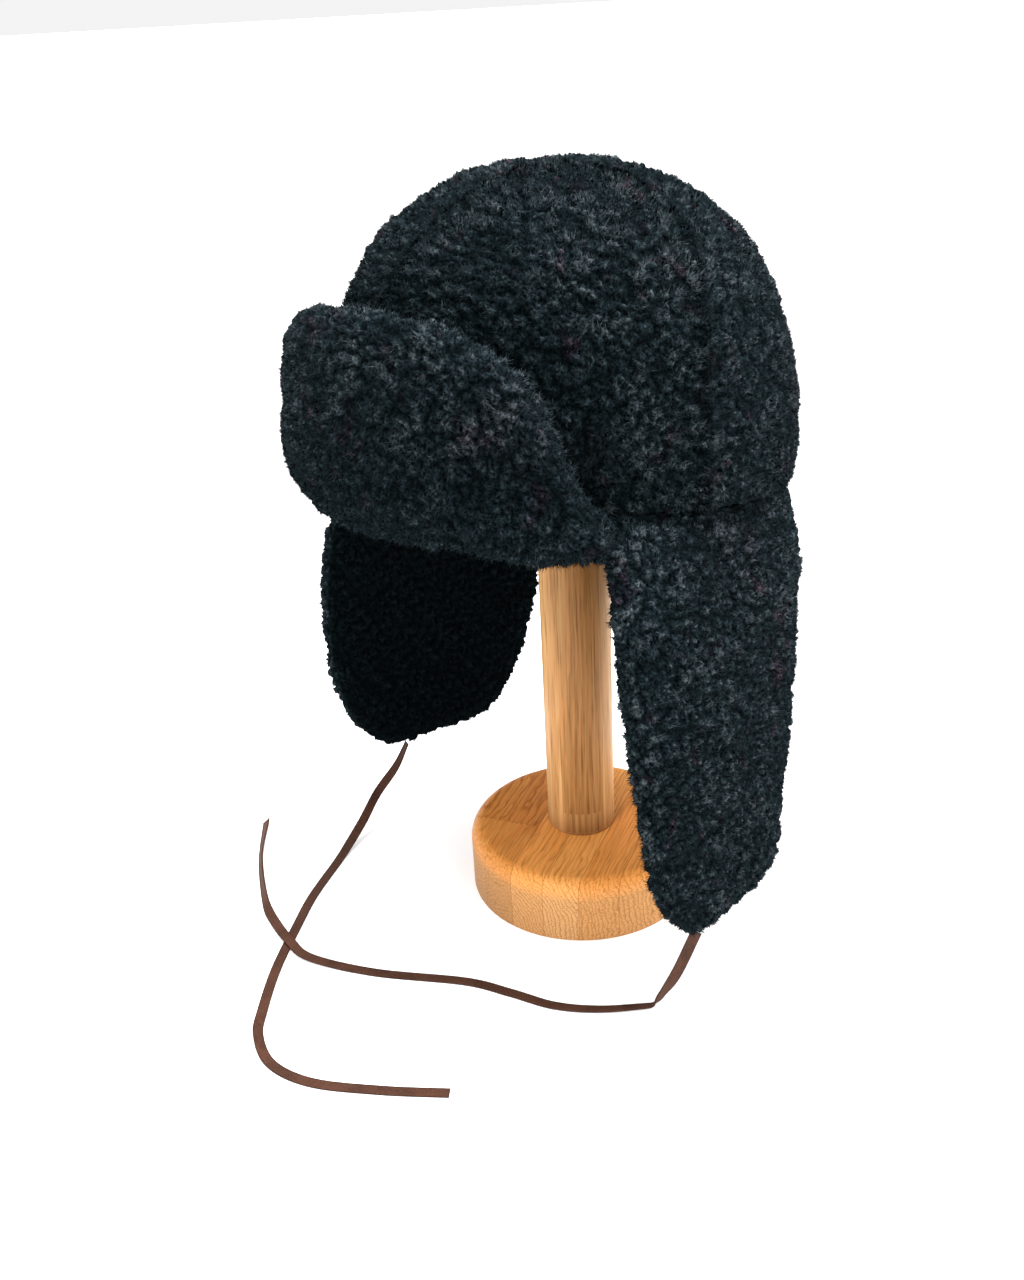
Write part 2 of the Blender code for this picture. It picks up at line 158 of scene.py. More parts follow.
# Colours and grain of the pile and the leather; the scales are in waves per metre
SPOT_SCALE = 55.0
AREA_SCALE = 11.0
CURL_SCALE = 820.0
CURL_BUMP = 0.0008
LEATHER_GRAIN_SCALE = 900.0
LEATHER_PATCH_SCALE = 90.0
FINE_BUMP = 0.0002
PILE_COLOUR = (0.0370, 0.0460, 0.0510)
PILE_BLOTCH = (0.0470, 0.0320, 0.0430)
# Painted shade of the pile: its colour is multiplied by these, from the crevices over the slopes to the
# tops of the curls
PILE_CREVICE_SHADE = (0.004, 0.012, 0.013)
PILE_SLOPE_SHADE = (0.15, 0.205, 0.22)
PILE_CURL = (1.0, 1.0, 1.0)
PILE_SHEEN = (0.42, 0.62, 0.70, 1.0)
LEATHER_DARK = (0.028, 0.010, 0.0055)
LEATHER_LIGHT = (0.056, 0.021, 0.0115)
LEATHER_PORE = (0.012, 0.005, 0.0035)
LEATHER_RIDGE = (0.092, 0.041, 0.025)
LEATHER_SPECULAR = 0.12

# Ties, with the solids' own routes
TIE_WIDTH = 0.0055
TIE_THICKNESS = 0.0012
TIE_LEFT_ROUTE = (
    # x, y, z, roll in degrees
    (0.1265, -0.0395, 0.0510, 90.0),
    (0.1195, -0.0450, 0.0255, 95.0),
    (0.1135, -0.0495, 0.0100, 130.0),
    (0.1085, -0.0545, 0.0013, 158.0),
    (0.0930, -0.0740, 0.0008, 170.0),
    (0.0750, -0.0890, 0.0008, 176.0),
    (0.0520, -0.0995, 0.0008, 180.0),
    (0.0290, -0.1115, 0.0008, 180.0),
    (-0.0095, -0.1425, 0.0008, 180.0),
    (-0.0425, -0.1620, 0.0018, 180.0),
    (-0.0620, -0.1635, 0.0026, 180.0),
    (-0.0855, -0.1600, 0.0016, 195.0),
    (-0.1045, -0.1545, 0.0008, 230.0),
    (-0.1415, -0.1360, 0.0008, 243.0),
    (-0.1760, -0.1120, 0.0008, 220.0),
)
TIE_RIGHT_ROUTE = (
    (-0.1225, -0.0350, 0.0508, -10.0),
    (-0.1240, -0.0440, 0.0365, 15.0),
    (-0.1250, -0.0590, 0.0230, 55.0),
    (-0.1215, -0.0735, 0.0110, 40.0),
    (-0.1150, -0.0900, 0.0032, 10.0),
    (-0.1085, -0.1020, 0.0008, 0.0),
    (-0.0900, -0.1310, 0.0008, 0.0),
    (-0.0735, -0.1515, 0.0008, 0.0),
    (-0.0490, -0.1800, 0.0008, 0.0),
    (-0.0250, -0.2025, 0.0008, 8.0),
    (-0.0100, -0.2135, 0.0008, 24.0),
    (0.0110, -0.2185, 0.0008, 5.0),
    (0.0350, -0.2105, 0.0008, 0.0),
    (0.0620, -0.1885, 0.0008, 0.0),
    (0.0860, -0.1650, 0.0008, 0.0),
)
TIE_STEPS = 10
TIE_LIFT = 0.00005
TIE_EDGE_SHARE = 0.22

# Stand
POST_RADIUS = 0.019
BASE_RADIUS = 0.064
BASE_HEIGHT = 0.038
BASE_TOP_ROUNDING = 0.0085
BASE_FOOT_ROUNDING = 0.0010
HEAD_UNDERSIDE_Z = 0.350
GAP = 0.0003
POST_FOOT_BEVEL = 0.0006
WOOD_LIGHT = (0.74, 0.40, 0.155)
WOOD_WARM = (0.66, 0.31, 0.100)
WOOD_RING = (0.46, 0.190, 0.055)
WOOD_STREAK = (0.26, 0.085, 0.020)
POST_LIGHT = (0.50, 0.295, 0.122)
POST_DEEP = (0.33, 0.165, 0.058)
POST_HEART = (0.185, 0.085, 0.026)
POST_HEART_WAY = (0.783, -0.623)
POST_PITH = (0.010, -0.034)
POST_RING_WIDTH = 0.0023
# Painted light on the base: the top lighter and warmer, the side darker
BASE_TOP_PAINTED_LIGHT = (1.22, 1.02, 0.69)
BASE_SIDE_PAINTED_SHADE = (0.77, 0.81, 0.87)
# The left boards are darker: partly their own tone, partly painted shade on that side
BASE_LEFT_TONE_AND_SHADE = (0.74, 0.69, 0.63)
BASE_SHOULDER_Z = (0.026, 0.037)
BASE_PORE = (0.62, 0.56, 0.48)
BASE_FIBRE = 1.08
POST_PORE = (0.55, 0.48, 0.40)
POST_FIBRE = 1.1
BASE_RING_WIDTH = 0.0021
BASE_WOBBLE = 0.0022
POST_WOBBLE = 0.0016
WOOD_SPECULAR = 0.12
STAVE_WAY = (0.477, -0.879)
STAVE_WIDTH = 0.0197
STAVE_START = -0.0205
BUTT_JOINT = 0.0157
BUTT_TEETH = 0.0016
GLUE_HALF_WIDTH = 0.00022
BUTT_HALF_WIDTH = 0.00025
GLUE_SHARE = 0.55
POST_JOINT_Z = 0.0525
POST_FINGERS = 5.5  # for each radian round the post
POST_FINGER_HEIGHT = 0.0125


def link(obj):
    bpy.context.scene.collection.objects.link(obj)
    return obj


# Camera, floor and light

def add_camera():
    data = bpy.data.cameras.new("photo_view")
    data.sensor_fit = "HORIZONTAL"
    data.sensor_width = SENSOR
    data.lens = FOCAL_PIXELS / PHOTO_WIDTH * SENSOR
    data.clip_start = 0.01
    data.clip_end = 200.0
    camera = link(bpy.data.objects.new("photo_view", data))
    axes = Matrix((CAMERA_RIGHT, CAMERA_UP, [-a for a in CAMERA_FORWARD])).transposed().to_4x4()
    camera.matrix_world = Matrix.Translation(CAMERA_PLACE) @ axes
    bpy.context.scene.camera = camera


def add_floor():
    mesh = bpy.data.meshes.new("floor")
    corners = [(FLOOR_HALF * x, FLOOR_HALF * y, 0) for x, y in ((-1, -1), (1, -1), (1, 1), (-1, 1))]
    mesh.from_pydata(corners, [], [(0, 1, 2, 3)])
    floor = link(bpy.data.objects.new("floor", mesh))
    material = bpy.data.materials.new("floor_paint")
    material.use_nodes = True
    shader = material.node_tree.nodes["Principled BSDF"]
    shader.inputs["Base Color"].default_value = FLOOR_GREY
    shader.inputs["Emission Color"].default_value = WHITE
    shader.inputs["Emission Strength"].default_value = FLOOR_GLOW
    shader.inputs["Roughness"].default_value = 0.9
    shader.inputs["Specular IOR Level"].default_value = 0.0
    mesh.materials.append(material)


def add_sun(name, toward, spread, power):
    """A broad, even light that comes from a direction."""
    data = bpy.data.lights.new(name, "SUN")
    data.angle = radians(spread)
    data.energy = power
    lamp = link(bpy.data.objects.new(name, data))
    lamp.location = Vector(toward).normalized() * 2.0
    lamp.rotation_euler = Vector(toward).to_track_quat("Z", "Y").to_euler()


def add_light():
    world = bpy.data.worlds.new("studio")
    world.use_nodes = True
    back = world.node_tree.nodes["Background"]
    back.inputs["Color"].default_value = WHITE
    back.inputs["Strength"].default_value = SKY_POWER
    bpy.context.scene.world = world
    for name, toward, spread, power in SUNS:
        add_sun(name, toward, spread, power)
    bpy.context.scene.view_settings.view_transform = "Standard"


# Node helpers

class Shader:
    """A short way to write a material's nodes."""

    def __init__(self, name):
        self.material = bpy.data.materials.new(name)
        self.material.use_nodes = True
        self.tree = self.material.node_tree
        self.surface = self.tree.nodes["Principled BSDF"]

    def node(self, kind, **settings):
        made = self.tree.nodes.new(kind)
        for key, value in settings.items():
            setattr(made, key, value)
        return made

    def join(self, start, stop):
        self.tree.links.new(start, stop)

    def put(self, socket, value):
        if isinstance(value, bpy.types.NodeSocket):
            self.join(value, socket)
        else:
            socket.default_value = value

    def places(self):
        return self.node("ShaderNodeTexCoord").outputs["Object"]

    def attribute(self, name):
        return self.node("ShaderNodeAttribute", attribute_name=name).outputs["Fac"]

    def split(self, vector):
        made = self.node("ShaderNodeSeparateXYZ")
        self.put(made.inputs[0], vector)
        return made.outputs[0], made.outputs[1], made.outputs[2]

    def vector(self, *parts):
        made = self.node("ShaderNodeCombineXYZ")
        for socket, value in zip(made.inputs, parts):
            self.put(socket, value)
        return made.outputs[0]

    def chance(self, value):
        """A random number from 0 to 1 for each whole number."""
        made = self.node("ShaderNodeTexWhiteNoise", noise_dimensions="1D")
        self.put(made.inputs["W"], value)
        return made.outputs["Value"]

    def math(self, operation, first, second=0.0):
        made = self.node("ShaderNodeMath", operation=operation)
        self.put(made.inputs[0], first)
        self.put(made.inputs[1], second)
        return made.outputs[0]

    def times(self, first, second):
        return self.math("MULTIPLY", first, second)

    def plus(self, first, second):
        return self.math("ADD", first, second)

    def minus(self, first, second):
        return self.math("SUBTRACT", first, second)

    def scaled(self, places, across, along, up):
        """Places with each of their three parts made so many times longer."""
        first, second, third = places
        return self.vector(self.times(first, across), self.times(second, along), self.times(third, up))

    def noise(self, vector, scale, detail=2.0, roughness=0.5, distortion=0.0):
        made = self.node("ShaderNodeTexNoise")
        self.put(made.inputs["Vector"], vector)
        made.inputs["Scale"].default_value = scale
        made.inputs["Detail"].default_value = detail
        made.inputs["Roughness"].default_value = roughness
        made.inputs["Distortion"].default_value = distortion
        return made.outputs["Fac"]

    def ramp(self, value, *stops):
        made = self.node("ShaderNodeValToRGB")
        self.put(made.inputs[0], value)
        band = made.color_ramp
        while len(band.elements) < len(stops):
            band.elements.new(0.5)
        for element, (place, colour) in zip(band.elements, stops):
            element.position = place
            element.color = (*colour, 1.0)
        return made.outputs["Color"]

    def level(self, value, low, high, start=0.0, stop=1.0):
        made = self.node("ShaderNodeMapRange")
        self.put(made.inputs["Value"], value)
        made.inputs["From Min"].default_value = low
        made.inputs["From Max"].default_value = high
        made.inputs["To Min"].default_value = start
        made.inputs["To Max"].default_value = stop
        return made.outputs["Result"]

    def mix(self, share, first, second, blend="MIX"):
        made = self.node("ShaderNodeMix", data_type="RGBA", blend_type=blend)
        self.put(made.inputs["Factor"], share)
        for socket, value in ((made.inputs[6], first), (made.inputs[7], second)):
            self.put(socket, (*value, 1.0) if isinstance(value, tuple) else value)
        return made.outputs[2]

    def bump(self, height, strength, distance):
        made = self.node("ShaderNodeBump")
        made.inputs["Strength"].default_value = strength
        made.inputs["Distance"].default_value = distance
        self.put(made.inputs["Height"], height)
        self.join(made.outputs["Normal"], self.surface.inputs["Normal"])

    def greys(self, value, *stops):
        return self.ramp(value, *((place, (grey, grey, grey)) for place, grey in stops))


# Materials

def pile_material():
    """Dark curls with a few violet patches. The shade attribute paints shade into the crevices, the seams
    and the shaded parts.
    """
    shader = Shader("curly_pile")
    places = shader.places()
    spots = shader.noise(places, SPOT_SCALE, detail=3.0, roughness=0.65, distortion=0.5)
    spots = shader.level(spots, 0.590, 0.66)
    areas = shader.level(shader.noise(places, AREA_SCALE), 0.54, 0.70, 0.0, 0.35)
    fine = shader.noise(places, CURL_SCALE, detail=1.0, roughness=0.6)
    colour = shader.mix(shader.math("MAXIMUM", spots, areas), PILE_COLOUR, PILE_BLOTCH)
    colour = shader.mix(1.0, colour, shader.greys(fine, (0.30, 0.12), (0.70, 2.0)), "MULTIPLY")
    # Painted shade: the crevices, seams, valleys and shaded parts are darkened
    painted_shade = shader.attribute("pile_painted_shade")
    shade = shader.ramp(painted_shade, (0.0, PILE_CREVICE_SHADE), (0.4, PILE_SLOPE_SHADE), (1.0, PILE_CURL))
    colour = shader.mix(1.0, colour, shade, "MULTIPLY")
    shader.join(colour, shader.surface.inputs["Base Color"])
    shader.surface.inputs["Roughness"].default_value = 0.95
    shader.surface.inputs["Specular IOR Level"].default_value = 0.0
    shader.surface.inputs["Sheen Weight"].default_value = 0.025
    shader.surface.inputs["Sheen Roughness"].default_value = 0.6
    shader.surface.inputs["Sheen Tint"].default_value = PILE_SHEEN
    shader.bump(fine, 0.6, CURL_BUMP)
    return shader.material


def leather_material():
    shader = Shader("tie_leather")
    places = shader.places()
    grain = shader.noise(places, LEATHER_GRAIN_SCALE, detail=3.0, roughness=0.6)
    patches = shader.noise(places, LEATHER_PATCH_SCALE)
    colour = shader.ramp(patches, (0.3, LEATHER_DARK), (0.7, LEATHER_LIGHT))
    marks = shader.ramp(grain, (0.35, LEATHER_PORE), (0.65, LEATHER_RIDGE))
    shader.join(shader.mix(0.35, colour, marks), shader.surface.inputs["Base Color"])
    shader.join(shader.level(grain, 0.3, 0.7, 0.55, 0.8), shader.surface.inputs["Roughness"])
    shader.surface.inputs["Specular IOR Level"].default_value = LEATHER_SPECULAR
    shader.bump(grain, 0.35, FINE_BUMP)
    return shader.material


def ring_lines(shader, reach, spacing):
    """0 to 1 across each growth ring, darkest late in the ring."""
    share = shader.math("FRACT", shader.math("DIVIDE", reach, spacing))
    return shader.greys(share, (0.0, 0.15), (0.55, 0.35), (0.86, 1.0), (1.0, 0.15))


def far_from(shader, first, second):
    squares = shader.plus(shader.times(first, first), shader.times(second, second))
    return shader.math("SQRT", squares)


def wood_grain(shader, places, across, along, up, detail=3.0, roughness=0.6):
    """Noise that is stretched along the wood, in waves per metre each way."""
    return shader.noise(shader.scaled(places, across, along, up), 1.0, detail, roughness)


def with_pores(shader, colour, fibres, pore, light):
    """A wood colour with fine dark pores and lighter fibres."""
    flecks = shader.ramp(fibres, (0.30, pore), (0.50, (1.0, 1.0, 1.0)), (0.75, (light, light, light)))
    return shader.mix(1.0, colour, flecks, "MULTIPLY")


def finish_wood(shader, colour, height):
    shader.join(colour, shader.surface.inputs["Base Color"])
    shader.surface.inputs["Roughness"].default_value = 0.5
    shader.surface.inputs["Specular IOR Level"].default_value = WOOD_SPECULAR
    shader.bump(height, 0.12, FINE_BUMP)
    return shader.material


def base_wood_material():
    """Staves glued side by side, each with its own growth rings."""
    shader = Shader("stave_wood")
    x, y, z = shader.split(shader.places())
    way_x, way_y = STAVE_WAY
    across = shader.plus(shader.times(x, -way_y), shader.times(y, way_x))
    along = shader.plus(shader.times(x, way_x), shader.times(y, way_y))
    turn = shader.math("DIVIDE", shader.minus(across, STAVE_START), STAVE_WIDTH)
    stave = shader.math("FLOOR", turn)

    # The staves on the left are jointed end to end, in a toothed line
    notch = shader.math("PINGPONG", across, BUTT_TEETH)
    behind = shader.math("LESS_THAN", along, shader.plus(notch, BUTT_JOINT))
    left = shader.math("LESS_THAN", across, STAVE_START)
    behind_left = shader.times(behind, left)

    # Each board has its own place in the log, picked by its number
    board = shader.plus(stave, shader.times(behind_left, 7.3))
    chance = shader.chance(board)
    other = shader.chance(shader.plus(board, 31.7))
    places = across, along, z
    wobble = wood_grain(shader, places, 60.0, 16.0, 60.0, roughness=0.55)
    wobble = shader.level(wobble, 0.3, 0.7, -BASE_WOBBLE, BASE_WOBBLE)
    aside = shader.plus(across, shader.level(chance, 0.0, 1.0, 0.018, 0.050))
    below = shader.plus(z, shader.level(other, 0.0, 1.0, -0.014, 0.018))
    rings = ring_lines(shader, shader.plus(far_from(shader, aside, below), wobble), BASE_RING_WIDTH)
    fibres = wood_grain(shader, places, 1100.0, 45.0, 1100.0)

    tone = shader.mix(chance, WOOD_LIGHT, WOOD_WARM)
    # Darker left boards, partly their own tone and partly painted shade
    tone = shader.mix(left, tone, shader.mix(1.0, tone, BASE_LEFT_TONE_AND_SHADE, "MULTIPLY"))
    ring_share = shader.level(z, *BASE_SHOULDER_Z, 1.0, 0.75)
    colour = shader.mix(shader.times(rings, ring_share), tone, WOOD_RING)
    unevenness = shader.level(wobble, -BASE_WOBBLE, BASE_WOBBLE, 0.5, 1.1)
    streak = shader.math("POWER", shader.times(rings, unevenness), 1.3)
    streak = shader.times(streak, behind_left)
    colour = shader.mix(shader.times(streak, 0.85), colour, WOOD_STREAK)
    colour = with_pores(shader, colour, fibres, BASE_PORE, BASE_FIBRE)
    # Painted light: the top is lit up and the side darkened
    painted_face_light = shader.ramp(shader.level(z, *BASE_SHOULDER_Z), (0.0, BASE_SIDE_PAINTED_SHADE), (1.0, BASE_TOP_PAINTED_LIGHT))
    colour = shader.mix(1.0, colour, painted_face_light, "MULTIPLY")

    beside = shader.math("ABSOLUTE", shader.minus(shader.math("FRACT", turn), 0.5))
    glue = shader.math("GREATER_THAN", beside, 0.5 - GLUE_HALF_WIDTH / STAVE_WIDTH)
    from_butt = shader.math("ABSOLUTE", shader.minus(shader.minus(along, notch), BUTT_JOINT))
    butt = shader.times(shader.math("LESS_THAN", from_butt, BUTT_HALF_WIDTH), left)
    joint = shader.math("MAXIMUM", glue, butt)
    colour = shader.mix(shader.times(joint, GLUE_SHARE), colour, WOOD_STREAK)
    return finish_wood(shader, colour, shader.minus(fibres, joint))


def post_wood_material():
    """Grain that runs up the post, with a finger joint near its foot."""
    shader = Shader("post_wood")
    places = shader.split(shader.places())
    x, y, z = places
    wobble = wood_grain(shader, places, 70.0, 70.0, 9.0, roughness=0.55)
    wobble = shader.level(wobble, 0.3, 0.7, -POST_WOBBLE, POST_WOBBLE)
    pith_x, pith_y = POST_PITH
    reach = far_from(shader, shader.minus(x, pith_x), shader.minus(y, pith_y))
    rings = ring_lines(shader, shader.plus(reach, wobble), POST_RING_WIDTH)
    fibres = wood_grain(shader, places, 1000.0, 1000.0, 28.0)
    bands = wood_grain(shader, places, 170.0, 170.0, 3.0, detail=2.0, roughness=0.5)

    # A dark band of heartwood runs up one side
    way_x, way_y = POST_HEART_WAY
    toward = shader.plus(shader.times(x, way_x / POST_RADIUS), shader.times(y, way_y / POST_RADIUS))
    heart = shader.level(shader.plus(toward, shader.level(bands, 0.3, 0.7, -0.1, 0.1)), 0.74, 0.97)
    tone = shader.mix(shader.level(bands, 0.42, 0.58, 0.0, 0.7), POST_LIGHT, POST_DEEP)
    tone = shader.mix(shader.times(heart, 0.85), tone, POST_HEART)
    colour = shader.mix(shader.times(rings, 0.45), tone, WOOD_RING)
    colour = with_pores(shader, colour, fibres, POST_PORE, POST_FIBRE)

    round_post = shader.times(shader.math("ARCTAN2", y, x), POST_FINGERS)
    finger = shader.math("GREATER_THAN", shader.math("FRACT", round_post), 0.5)
    joint_z = shader.plus(shader.times(finger, -POST_FINGER_HEIGHT), POST_JOINT_Z)
    foot = shader.math("LESS_THAN", z, joint_z)
    colour = shader.mix(shader.times(foot, 0.35), colour, POST_LIGHT)
    return finish_wood(shader, colour, fibres)


# Pile

def waves(points, rng, wavelength, count=9):
    """Three smooth random fields over the points, each about -1 to 1."""
    fields = np.zeros((len(points), 3))
    for axis in range(3):
        for _ in range(count):
            way = rng.normal(size=3)
            way *= 2.0 * pi / (wavelength * rng.uniform(0.7, 1.5)) / np.linalg.norm(way)
            fields[:, axis] += np.sin(points @ way + rng.uniform(0.0, 2.0 * pi))
    return fields * (1.6 / count)


def welded_copy(node):
    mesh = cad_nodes[node].data.copy()
    shape = bmesh.new()
    shape.from_mesh(mesh)
    bmesh.ops.remove_doubles(shape, verts=shape.verts[:], dist=WELD_DISTANCE)
    shape.to_mesh(mesh)
    shape.free()
    mesh.materials.clear()
    return mesh


def even_shell(node):
    """(points, quads, normals) of the node's surface as an even, softened mesh."""
    work = link(bpy.data.objects.new("work", welded_copy(node)))
    remesh = work.modifiers.new("Even", "REMESH")
    remesh.mode = "VOXEL"
    remesh.voxel_size = PAD_VOXEL
    soften = work.modifiers.new("Soften", "SMOOTH")
    soften.iterations = PAD_SMOOTHING
    soften.factor = 0.5
    now = bpy.context.evaluated_depsgraph_get()
    mesh = bpy.data.meshes.new_from_object(work.evaluated_get(now), depsgraph=now)
    bpy.data.objects.remove(work)
    points = np.empty(len(mesh.vertices) * 3)
    mesh.vertices.foreach_get("co", points)
    normals = np.empty(len(mesh.vertices) * 3)
    mesh.vertex_normals.foreach_get("vector", normals)
    sizes = np.empty(len(mesh.polygons), int)
    mesh.polygons.foreach_get("loop_total", sizes)
    corners = np.empty(len(mesh.loops), int)
    mesh.loops.foreach_get("vertex_index", corners)
    if not (sizes == 4).all():
        raise ValueError("the even mesh isn't made of quads")
    bpy.data.meshes.remove(mesh)
    return points.reshape(-1, 3), corners.reshape(-1, 4), normals.reshape(-1, 3)


def thinned(points, quads, normals, hidden):
    """Merge the hidden vertices that share a cell of a coarse grid.

    Returns points, quads, triangles, normals and which points are hidden.
    """
    label = np.arange(len(points))
    cells = np.floor(points[hidden] / HIDDEN_CELL).astype(np.int64)
    _, same = np.unique(cells, axis=0, return_inverse=True)
    label[hidden] = len(points) + same.ravel()
    names, index = np.unique(label, return_inverse=True)
    index = index.ravel()
    count = np.bincount(index)[:, None]
    merged = np.stack([np.bincount(index, points[:, k]) for k in range(3)], axis=1) / count
    turned_to = np.stack([np.bincount(index, normals[:, k]) for k in range(3)], axis=1)
    turned_to /= np.maximum(np.linalg.norm(turned_to, axis=1, keepdims=True), 1e-9)
    faces = index[quads]
    doubled = faces == np.roll(faces, -1, axis=1)
    whole = faces[doubled.sum(axis=1) == 0]
    whole = whole[(whole[:, 0] != whole[:, 2]) & (whole[:, 1] != whole[:, 3])]
    part = doubled.sum(axis=1) == 1
    cut = faces[part]
    drop = doubled[part].argmax(axis=1)
    keep = np.array([[1, 2, 3], [0, 2, 3], [0, 1, 3], [0, 1, 2]])
    triangles = np.take_along_axis(cut, keep[drop], axis=1)
    triangles = triangles[(triangles[:, 0] != triangles[:, 1]) & (triangles[:, 1] != triangles[:, 2])
                          & (triangles[:, 0] != triangles[:, 2])]
    return merged, whole, triangles, turned_to, names >= len(points)


def surfaces_of(nodes):
    """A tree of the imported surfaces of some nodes, or None."""
    vertices = []
    faces = []
    for node in nodes:
        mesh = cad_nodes[node].data
        mesh.calc_loop_triangles()
        start = len(vertices)
        vertices += [v.co.copy() for v in mesh.vertices]
        faces += [tuple(start + i for i in t.vertices) for t in mesh.loop_triangles]
    return BVHTree.FromPolygons(vertices, faces) if faces else None


def across_the_seam(node):
    """The pieces on the other side of the seam between the crown and the flaps."""
    if node == "brim":
        return []
    crown = node.startswith("crown")
    return [other for other in PILE_NODES if other != "brim" and other.startswith("crown") != crown]


def lies_against(node):
    """The pieces that this one lies against without a seam."""
    if node == "brim":
        return ["crown_front_left", "crown_front_right"]
    return ["brim"] if node.startswith("crown_front") else []


def sewn_beside(node):
    """The pieces that go on from this one behind a soft valley."""
    if node == "brim":
        return []
    crown = node.startswith("crown")
    if not crown and node != "neck_flap":
        return ["neck_flap"]
    return [other for other in PILE_NODES
            if other not in ("brim", node) and other.startswith("crown") == crown]


def room_beside(points, tree, reach):
    """0 at another piece's surface, 1 from a reach on."""
    room = np.ones(len(points))
    if tree is None:
        return room
    for i, place in enumerate(points):
        near = tree.find_nearest(place, reach)
        if near[3] is not None:
            room[i] = near[3] / reach
    return room


def unit(vectors):
    return vectors / np.linalg.norm(vectors, axis=1, keepdims=True)


def dot(first, second):
    return np.einsum("ij,ij->i", first, second)


def from_low(low, values):
    """Values of 0 to 1 brought to run from low to 1."""
    return low + (1.0 - low) * values


def add_mesh(name, points, faces, painted_shade, material):
    """A mesh object from arrays. Each array in faces holds faces with as many corners as its columns."""
    mesh = bpy.data.meshes.new(name)
    mesh.vertices.add(len(points))
    mesh.vertices.foreach_set("co", np.asarray(points, np.float32).ravel())
    corners = np.concatenate([f.ravel() for f in faces])
    sizes = np.concatenate([np.full(len(f), f.shape[1]) for f in faces])
    mesh.loops.add(len(corners))
    mesh.loops.foreach_set("vertex_index", corners.astype(np.int32))
    mesh.polygons.add(len(sizes))
    starts = np.concatenate([[0], np.cumsum(sizes)[:-1]]).astype(np.int32)
    mesh.polygons.foreach_set("loop_start", starts)
    mesh.update(calc_edges=True)
    mesh.validate()
    mesh.shade_smooth()
    # The pile's painted shade, kept on the points
    shade = mesh.attributes.new("pile_painted_shade", "FLOAT", "POINT")
    shade.data.foreach_set("value", np.asarray(painted_shade, np.float32))
    mesh.materials.append(material)
    return link(bpy.data.objects.new(name, mesh))


def faces_inside(node, points, normals):
    """True where the surface looks in at the head. The brim has no such side."""
    if node == "brim":
        return np.zeros(len(points), bool)
    if node.startswith("crown"):
        outward = points - CROWN_MIDDLE
        outward[:, 2] = np.maximum(outward[:, 2], 0.0)
    else:
        outward = points * (1.0, 1.0, 0.0)
    return dot(outward, normals) < 0.0


def lumps_at(points, rng):
    """The curls of the pile: about 1 on a curl, near 0 in a crevice."""
    squeezed = points * (1.0, 1.0, LUMP_FLATTENING)
    lump = np.zeros(len(points))
    for size, share in zip(LUMP_LENGTHS, LUMP_SHARES):
        hill = np.abs(waves(squeezed, rng, size)[:, 0]) / LUMP_SPREAD
        lump += share * np.log(np.clip(hill, LUMP_FLOOR, 1.0))
    return np.exp(lump) * (1.0 + SWELL_SHARE * waves(points, rng, SWELL_LENGTH)[:, 0])


def pad_rise(node, points, lump, room, open_share):
    """How far out of the solid's face each point of the pad lies."""
    apart = room_beside(points, surfaces_of(lies_against(node)), VALLEY_REACH)
    least = np.minimum(np.minimum(open_share, apart), room)
    level = np.clip((least - FLAT_SHARE) / RISING_SHARE, 0.0, 1.0)
    rise = (LUMP_RISE * lump * from_low(SEAM_LUMP_SHARE, room) - PAD_INSET) * level

    # The sewn seams and the crown's rim are filled, so that nothing shows through them
    near_seam = 1.0 - room_beside(points, surfaces_of(sewn_beside(node)), SEAM_FILL_REACH)
    near_rim = 1.0 - room_beside(points, surfaces_of(across_the_seam(node)), RIM_FILL_REACH)
    behind = np.clip((points[:, 1] - BEHIND_START_Y) / BEHIND_LENGTH, 0.0, 1.0)
    rise = rise + SEAM_FILL * near_seam + (RIM_FILL + RIM_FILL_BEHIND * behind) * near_rim
    if node in CORNER_SWELLS:
        place, reach, height = CORNER_SWELLS[node]
        one_side = points.copy()
        one_side[:, 0] = np.abs(one_side[:, 0])
        away = np.linalg.norm(one_side - place, axis=1)
        rise = rise + height * np.exp(-(away / reach) ** 2)
    return rise


def draw_to_apex(points):
    """Draw the tip of a gore in, so that it meets the other gores' tips."""
    from_apex = points[:, :2] - APEX
    distance = np.linalg.norm(from_apex, axis=1, keepdims=True)
    inward = APEX_CLOSING * np.clip(1.0 - distance / APEX_REACH, 0.0, 1.0)
    points[:, :2] -= from_apex * inward / np.maximum(distance, 1e-6)


def broad_shade(node, points, inside):
    """Broad painted shade: 1 on open pile, less on the inside, beside the brim and low on the brim."""
    shade = np.where(inside, INSIDE_SHADE, 1.0)
    # Painted shadow of the brim on the crown
    if node.startswith("crown"):
        clear = room_beside(points, surfaces_of(["brim"]), BRIM_SHADOW_REACH)
        return shade * from_low(BRIM_SHADOW_SHADE, clear)
    # Painted shade, darker towards the foot of the brim
    if node == "brim":
        height = np.clip((points[:, 2] - BRIM_FOOT_Z) / BRIM_FOOT_HEIGHT, 0.0, 1.0)
        return shade * from_low(BRIM_FOOT_SHADE, height)
    return shade


